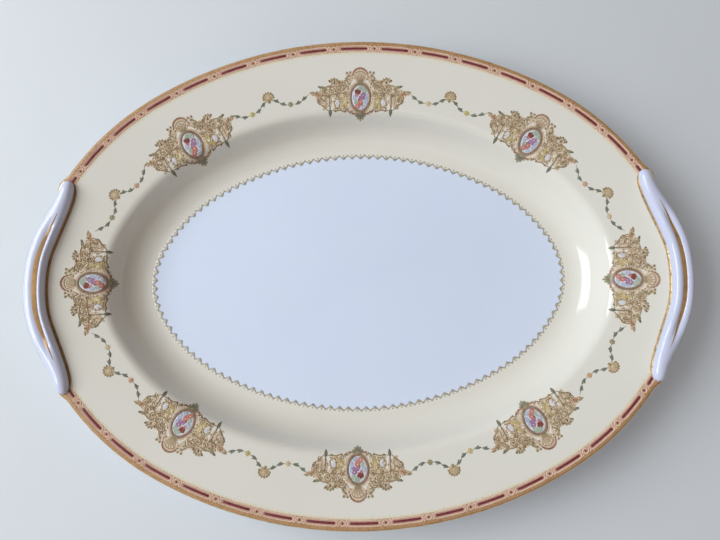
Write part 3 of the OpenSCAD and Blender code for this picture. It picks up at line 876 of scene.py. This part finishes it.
FLOWER_EYES = ((2.0, 1.6), (-1.7, -5.9), (0.1, -3.2), (-3.6, 0.0), (2.0, -6.4), (2.7, 4.6))
STEMS = (((0.2, -1.2), (0.1, -4), (-0.3, -7)), ((0.4, -1.6), (1.4, -4.2), (1.0, -7.2)),
         ((-0.2, -1.5), (-1.5, -3.8), (-2.6, -6.4)))


def draw_bouquet(r):
    """Spray of flowers on the plaque: a dark rose, violets, pinks and blue flowers."""
    for colour, x, high, a, b, turn in BOUQUET:
        y, a, b = FRAME_Y + BOUQUET_SQUASH * high, FLOWER_SCALE[0] * a, FLOWER_SCALE[1] * b
        r[colour].oval(x, y, a, b, turn, 12, 0.14, 0.7)
        petals(r[colour], x, y, (PETAL_REACH * a, PETAL_REACH * b), (PETAL_A * a, PETAL_B * b),
               [72 * k + turn for k in range(5)], 8, 0.2)
    for x, high in FLOWER_EYES:
        r["cream"].dot(x, FRAME_Y + BOUQUET_SQUASH * high, 0.4, 0.26, 6)
    for points in STEMS:
        r["khaki"].stroke(curve(points, 8), 0.3, 0.12)


EAR_DOTS = (  # centre, radius
    (8.7, 14.7, 0.8), (6.3, 15.0, 0.75), (7.5, 12.9, 0.85), (9.6, 11.0, 0.55), (7.4, 10.4, 0.5))


def draw_crest(r):
    """Domed shell over the frame, with a tulip ear on each side."""
    dome = oval_arc((0, 12.9), 5.1, 4.7, -28, 208, 21)
    r["ground"].blob(np.concatenate([dome, [(-2.0, 8.6), (2.0, 8.6)]]), 0.1, 0.85)
    r["rust"].line(dome[3:-3] * (0.97, 1) + (0, -0.1), 1.3, 0.26, 0.5)
    for x, y in dome[::2]:
        r["tan"].dot(x, y, 0.62, 0.24)
    r["tan"].stroke(oval_arc((0, 12.5), 3.7, 3.1, -28, 208, 21)[4:-4], 0.5, 0.2)
    for x in (-3, -2, -1, 0, 1, 2, 3):
        rib = curve([(0.3 * x, 9.3), (0.75 * x, 11.0), (1.25 * x, 15.5 - 0.16 * x * x)], 8)
        r["tan"].line(rib, 0.5, 0.18)
    for x in (-4.2, -2.5, -0.8, 0.8, 2.5, 4.2):
        r["cream"].dot(x, 14.5 - 0.13 * x * x, 0.5, 0.27)
    r["khaki"].oval(0, 9.5, 2.3, 0.9, 0, 14, 0.24)
    for side in (-1, 1):
        r["ground"].oval(side * 8.3, 10.3, 1.7, 2.7, side * -12, 16, 0.06, 0.9)
        r["ground"].oval(side * 7.5, 13.8, 1.7, 1.7, 0, 16, 0.06, 0.9)
        stem = curve([(side * 7.0, 7.6), (side * 8.9, 9.9), (side * 8.6, 11.9), (side * 7.5, 13.0)])
        r["khaki"].line(stem, 1.3, 0.2)
        for x, y, size in EAR_DOTS:
            r["khaki"].dot(side * x, y, size, 0.24)
            r["brown"].dot(side * x, y, size * 0.5, 0.3, 6)


def draw_palmette(r):
    """Palmette on the well side of the frame, with two scrolls beside it."""
    for turn, length in ((-90, 3.9), (-58, 3.7), (-122, 3.7), (-26, 3.9), (-154, 3.9)):
        c, d = cos(radians(turn)), sin(radians(turn))
        x, y = 0.5 * length * c, -9.2 + 0.5 * length * d
        r["khaki"].oval(x, y, 0.5 * length, 0.95, turn, 14, 0.2)
        r["slate"].oval(x, y, 0.36 * length, 0.6, turn, 12, 0.26)
    r["khaki"].oval(0, -9.8, 2.4, 0.7, 0, 14, 0.28)
    for side in (-1, 1):
        r["rust"].line(curve([(side * 2.4, -9.6), (side * 4.8, -9.9), (side * 6.4, -8.6)]), 1.0, 0.2)
        r["brown"].dot(side * 6.9, -9.3, 0.5, 0.22)


SCROLLS = (  # centre, radius, turns, start, way, width
    (10.8, 6.7, 2.3, 1.6, 200, -1, 0.8), (14.0, 4.7, 2.4, 1.7, 160, 1, 0.8),
    (18.6, 3.7, 2.4, 1.6, 200, -1, 0.8), (23.4, 2.6, 2.0, 1.5, 180, 1, 0.7),
    (10.2, -6.6, 1.7, 1.5, 20, 1, 0.65), (25.5, -1.7, 1.9, 1.5, 120, -1, 0.7),
    (15.0, 0.9, 1.7, 1.4, 30, 1, 0.65), (9.4, 1.8, 1.7, 1.5, 250, 1, 0.65),
    (20.7, 0.3, 1.5, 1.4, 20, 1, 0.6), (28.2, 1.7, 1.5, 1.3, 150, 1, 0.55),
)
GROUNDS = (  # centre, half sizes and turn of the fills under the scrolls
    (10.6, 5.9, 4.2, 4.0, -25), (16.4, 4.9, 5.0, 3.4, -8), (16.9, 9.3, 3.1, 1.9, 0),
    (22.6, 3.3, 4.6, 2.7, -12), (28.0, 1.6, 3.4, 1.9, -5), (10.2, -1.4, 2.8, 6.8, 0),
    (10.3, -6.2, 2.7, 2.4, 0), (15.3, 0.7, 3.3, 1.8, 0), (19.7, -2.4, 1.3, 5.6, 2),
    (25.8, -2.2, 1.7, 3.2, 30), (22.8, -6.5, 2.6, 1.2, -40), (14.8, -7.8, 2.6, 0.9, 0),
    (8.2, 4.6, 1.9, 4.4, 14), (8.3, -3.6, 1.4, 5.2, -4), (6.6, -8.9, 2.6, 1.2, 24),
    (8.9, 9.0, 1.6, 2.6, -20), (6.5, 10.4, 1.7, 3.2, 22), (12.6, 8.6, 2.4, 1.8, 0),
    (14.9, -4.0, 3.1, 4.0, 0), (22.9, -2.6, 2.5, 3.7, 12),
)
WING_LINES = (  # points, width
    (((7.6, 3.0), (11.5, 2.2), (17, 1.6), (22.5, 0.6), (30.0, 1.4)), 0.9),
    (((28.4, -0.8), (27.3, -3.4), (25.0, -5.6), (21.0, -8.6)), 0.9),
    (((7.0, 8.4), (9.6, 10.0), (12.0, 9.0), (14.4, 8.0)), 0.9),
    (((7.8, -7.2), (10.4, -8.9), (13.2, -8.2), (16.2, -8.6), (18.6, -8.4)), 0.8),
    (((19.0, 7.0), (22.2, 6.0), (25.0, 5.4)), 0.8),
    (((13.0, 8.6), (14.2, 6.6), (18.0, 6.4), (21.0, 6.8)), 0.7),
)
TWIGS = (  # points
    ((21.6, 0.2), (22.8, -2.0), (22.0, -4.6), (23.4, -6.4)), ((25.2, -0.6), (23.9, -2.4), (24.6, -4.4)),
    ((12.4, -0.9), (14.6, -0.4), (17.2, -1.2)), ((12.6, -7.2), (15.0, -6.9), (17.6, -7.4)),
)
LEAVES = (  # colour, foot, length, width, turn
    ("mustard", 10.7, 2.4, 4.6, 1.6, -86), ("mustard", 12.2, 0.0, 4.8, 1.5, -96),
    ("mustard", 9.0, -1.6, 4.8, 1.6, -84), ("mustard", 10.8, -3.4, 4.8, 1.7, -90),
    ("mustard", 12.2, -4.4, 3.6, 1.4, -80), ("khaki", 21.0, 3.9, 6.8, 2.0, 22),
    ("slate", 24.9, 5.4, 2.9, 1.5, 18), ("khaki", 29.6, 2.6, 3.8, 1.4, -8),
    ("khaki", 26.6, -1.4, 3.6, 1.2, -76), ("khaki", 25.0, -5.0, 3.6, 1.3, -140),
)
LEAF_T = {"mustard": 0.22, "khaki": 0.22, "slate": 0.28}
TULIP, CORAL_FLOWER, PANEL = (16.9, 8.9), (27.2, 0.7), (15.0, -4.0)  # centres
TULIP_DOTS = ((20.0, 9.7), (13.8, 9.2), (16.9, 8.6))
RINGS = ((8.0, -5.6), (9.7, -7.2), (7.6, -7.6))
BERRIES = ((10.0, -8.9), (7.9, -8.6), (16.2, -8.7), (27.6, -3.3), (26.3, -4.6), (24.4, 5.9), (12.6, -1.4))
BEADS_PER_AREA, BEAD_COLOURS = 0.4, ("tan", "cream", "khaki", "cream", "brown", "cream")


def draw_wing(r, side, pick):
    """Scrollwork, leaves, drops and small flowers on one side of the frame."""
    def at(points):
        """The points laid on this side."""
        return np.asarray(points, float) * [side, 1]

    for x, y, a, b, turn in GROUNDS:
        r["ground"].blob(at(oval_outline(x, y, a, b, turn, 16)), 0.06, 0.9)
        for i in range(int(BEADS_PER_AREA * pi * a * b)):
            share, angle = sqrt(pick.random()), pick.uniform(0, 2 * pi)
            spot = oval_outline(x, y, a * share, b * share, turn, 360)[int(degrees(angle))]
            bead = r[BEAD_COLOURS[i % len(BEAD_COLOURS)]]
            bead.dot(side * spot[0], spot[1], pick.uniform(0.32, 0.58), 0.2, 6)
    for x, y, radius, turns, start, way, width in SCROLLS:
        r["tan"].line(at(spiral(x, y, radius, turns, start, way)), width, 0.22, 0.5)
        r["brown"].dot(side * x, y, 0.5, 0.26, 6)
    for points, width in WING_LINES:
        r["tan"].line(at(curve(points, 18)), width, 0.2, 0.5)
    r["plaque"].blob(at(oval_outline(*PANEL, 1.5, 2.3, 8, 16)), 0.16, 0.8)
    r["tan"].stroke(at(oval_outline(*PANEL, 1.9, 2.8, 8, 22)), 0.5, 0.2, closed=True)
    for points in TWIGS:
        r["tan"].line(at(curve(points, 12)), 0.6, 0.2, 0.5)
    for colour, turns in (("tan", (10, 90, 170)), ("khaki", (50, 130))):
        petals(r[colour], *TULIP, (2.4, 1.9), (1.0, 0.75), turns, 10, 0.24, side)
    for x, y in TULIP_DOTS:
        r["brown"].dot(side * x, y, 0.75, 0.3)
    for colour, *leaf in LEAVES:
        r[colour].blob(at(leaf_outline(*leaf)), LEAF_T[colour])
    for x, y in RINGS:
        r["cream"].stroke(at(oval_outline(x, y, 0.7, 1.0, 20, 12)), 0.4, 0.2, closed=True)
    for x, y in BERRIES:
        r["brown"].dot(side * x, y, 0.6, 0.28)
    stem = at(curve([(20.3, 1.4), (20.0, -3.6), (19.8, -8.2)], 10))
    r["slate"].stroke(stem, 0.6, 0.24)
    r["slate"].blob(at(leaf_outline(19.8, -7.4, 4.4, 2.2, -92)), LEAF_T["slate"])
    petals(r["coral"], *CORAL_FLOWER, (1.1, 0.9), (1.0, 0.8), range(0, 360, 72), 10, 0.2, side)
    r["rust"].dot(side * CORAL_FLOWER[0], CORAL_FLOWER[1], 0.7, 0.3)
    r["coral"].blob(at(oval_outline(30.9, 1.4, 1.2, 0.9, -20, 10)), 0.2)


MEDALLION_COLOURS = {  # slot: reliefs
    "white_china": ("plaque",),
    "tan_print": ("frame", "ground", "tan", "cream", "brown", "khaki", "mustard", "coral", "rust"),
    "maroon_enamel": ("rose", "violet", "pink_flower"),
    "leaf_enamel": ("slate", "mint", "blue"),
}


def medallions():
    """One transfer drawn once, then laid at each of its eight places."""
    slots = {colour: slot for slot, colours in MEDALLION_COLOURS.items() for colour in colours}
    reliefs = {colour: Relief() for colour in slots}
    for draw in (draw_frame, draw_bouquet, draw_crest, draw_palmette):
        draw(reliefs)
    pick = random.Random(11)
    for side in (-1, 1):
        draw_wing(reliefs, side, pick)
    for name, place in MEDALLIONS.items():
        node = "medallion_" + name
        for colour, relief in reliefs.items():
            lift = GROUND_T if colour in ("ground", "plaque") else GROUND_T + 0.04
            relief.drape(f"{node}_{colour}", colour, slots[colour], [node] if colour == "frame" else (),
                         lift, place)


# ---- Garlands ----

SWAG_INSET, FLOWER_KNOT = 27.5, 3
SWAG = (  # length from the shell, inset
    (4.5, 31.0), (8.3, 33.8), (12.8, 34.8), (18.0, 34.8), (22.6, 32.7), (26.2, 30.6))
SWAG_START = (2.4, 30.0)
FLOWERS = ("coral", "sand", "mustard", "khaki")


def draw_shell(r):
    """Small fan shell with a scalloped outer edge."""
    fan = oval_arc((0, -0.3), 3.7, 3.3, -12, 192, 17)
    r["core"].blob(np.concatenate([fan, [(-1.6, -2.6), (0, -3.2), (1.6, -2.6)]]), 0.12, 0.85)
    for i in range(8):
        a = radians(-6 + 192 * i / 7)
        x, y = 3.3 * cos(a), -0.3 + 3.0 * sin(a)
        r["edge"].oval(x, y, 0.8, 0.75, degrees(a), 10, 0.24)
        rib = curve([(0, -2.2), (0.5 * x, -1 + 0.5 * y), (0.8 * x, 0.8 * y)], 6)
        r["edge"].stroke(rib, 0.34, 0.18)
    for side in (-1, 1):
        r["core"].stroke(spiral(side * 1.9, -1.9, 1.1, 1.2, 90, side), 0.5, 0.2)
    r["core"].oval(0, -0.5, 1.2, 1.5, 0, 12, 0.26)
    r["bud"].dot(0, -2.9, 1.0, 0.24)


def garland(node, direction, inset, number):
    """A shell with a half swag on each side: leaves on a stem with one flower between them."""
    shell = {part: Relief() for part in ("core", "edge", "bud")}
    draw_shell(shell)
    for part, material in (("core", "sand"), ("edge", "tan"), ("bud", "khaki")):
        shell[part].drape(f"{node}_shell_{part}", material, "tan_print", place=(direction, inset))
    leaves, flowers, buds, stems = (Relief() for _ in range(4))
    for side in (-1, 1):
        way = [(s, d + (inset - SWAG_INSET) * (1 - s / SWAG[-1][0])) for s, d in (SWAG_START, *SWAG)]
        points = np.array([RimLine(direction, d).at(side * s) for s, d in way])
        stems.stroke(curve(points, 40), 0.34, 0.1)
        for k in range(1, len(points) - 1):
            x, y = points[k]
            turn = degrees(atan2(*(points[k + 1] - points[k - 1])[::-1]))
            if k == FLOWER_KNOT:
                target = flowers if side > 0 else buds
                petals(target, x, y, (1.0, 1.0), (0.8, 0.66), range(15, 375, 60), 8, 0.2)
                target.dot(x, y, 0.85, 0.3)
            else:
                c, s = cos(radians(turn)), sin(radians(turn))
                leaves.blob(leaf_outline(x - 2.3 * c, y - 2.3 * s, 4.6, 1.7, turn), 0.22)
                leaves.blob(leaf_outline(x - 1.0 * c, y - 1.0 * s, 2.4, 0.9, turn + 38), 0.18)
    for relief, part, material, slot, nodes in (
            (leaves, "leaves", "leaf", "leaf_enamel", [node]),
            (flowers, "flowers", FLOWERS[number % 4], "tan_print", ()),
            (buds, "buds", FLOWERS[(number + 1) % 4], "tan_print", ()),
            (stems, "stems", "khaki", "leaf_enamel", ())):
        relief.drape(f"{node}_{part}", material, slot, nodes, GROUND_T + 0.02)


# ---- Stage ----

CAMERA_AT, CAMERA_TURN = (0.00015, -0.03028, 0.3963), (0.0955, 0.0, -0.0214)
CAMERA_LENS, SENSOR_W = 29.15, 36.0
FLOOR_HALF = 3.0
ROOM = (  # position from the window's side to the dim side, colour
    (0.0, (0.74, 0.86, 1.0)), (0.38, (0.72, 0.79, 0.89)), (0.62, (0.33, 0.275, 0.225)),
    (1.0, (0.115, 0.08, 0.055)))
ROOM_LIGHT = 0.64
LAMPS = (  # name, place, size, power, colour
    ("window", (-1.15, 0.2, 1.0), (1.1, 0.9), 20.0, (0.875, 0.95, 1.0)),
    ("fill", (0.5, -0.9, 1.5), (1.4, 1.4), 2.5, (1.0, 0.98, 0.95)))
LAMP_AIM = (0, 0, 0.02)


def lay_floor(scene):
    """Pale floor under the platter."""
    floor, h = bpy.data.meshes.new("floor"), FLOOR_HALF
    floor.from_pydata([(-h, -h, 0), (h, -h, 0), (h, h, 0), (-h, h, 0)], [], [(0, 1, 2, 3)])
    paper = Finish("floor_paper")
    paper.colour(paper.ramp(paper.noise(3, 3), [(0.3, (0.70, 0.70, 0.70)), (0.7, (0.74, 0.74, 0.74))]))
    paper.roughness(paper.span(paper.noise(40, 2), 0.75, 0.9))
    floor.materials.append(paper.material)
    ground = bpy.data.objects.new("floor", floor)
    scene.collection.objects.link(ground)


def light_room(scene):
    """A room that is bright on the window's side, daylight from the left and a soft fill."""
    scene.world = bpy.data.worlds.new("room")
    scene.world.use_nodes = True
    nodes, links = scene.world.node_tree.nodes, scene.world.node_tree.links
    split = nodes.new("ShaderNodeSeparateXYZ")
    links.new(nodes.new("ShaderNodeTexCoord").outputs["Generated"], split.inputs[0])
    across = nodes.new("ShaderNodeMapRange")
    across.inputs["From Min"].default_value = -1.0
    links.new(split.outputs["X"], across.inputs["Value"])
    ramp = nodes.new("ShaderNodeValToRGB")
    fill_ramp(ramp, ROOM)
    links.new(across.outputs["Result"], ramp.inputs["Fac"])
    links.new(ramp.outputs["Color"], nodes["Background"].inputs["Color"])
    nodes["Background"].inputs["Strength"].default_value = ROOM_LIGHT
    for name, at, size, energy, colour in LAMPS:
        light = bpy.data.lights.new(name, "AREA")
        light.shape = "RECTANGLE"
        light.size, light.size_y = size
        light.energy, light.color = energy, colour
        lamp = bpy.data.objects.new(name, light)
        lamp.location = at
        lamp.rotation_euler = (Vector(LAMP_AIM) - Vector(at)).to_track_quat("-Z", "Y").to_euler()
        scene.collection.objects.link(lamp)


def set_camera(scene):
    """The camera over the platter."""
    lens = bpy.data.cameras.new("camera")
    lens.lens, lens.sensor_width = CAMERA_LENS, SENSOR_W
    lens.clip_start, lens.clip_end = 0.01, 20.0
    scene.camera = bpy.data.objects.new("camera", lens)
    scene.camera.location, scene.camera.rotation_euler = CAMERA_AT, CAMERA_TURN
    scene.collection.objects.link(scene.camera)
    scene.view_settings.view_transform = "Standard"


# ---- Build ----

platter_body()
foot_rim()
ivory_ground()
lip_gilding()
for side, name in ((1, "right"), (-1, "left")):
    make_handle(side, f"handle_{name}_china", f"handle_{name}")
    handle_gold(side, f"handle_{name}_gold", f"handle_gilding_{name}")
for side, name in ((1, "back"), (-1, "front")):
    border(side, name)
lace()
medallions()
for number, (name, (direction, inset)) in enumerate(GARLANDS.items()):
    garland("garland_" + name, direction, inset, number)
for add in (lay_floor, light_room, set_camera):
    add(bpy.context.scene)
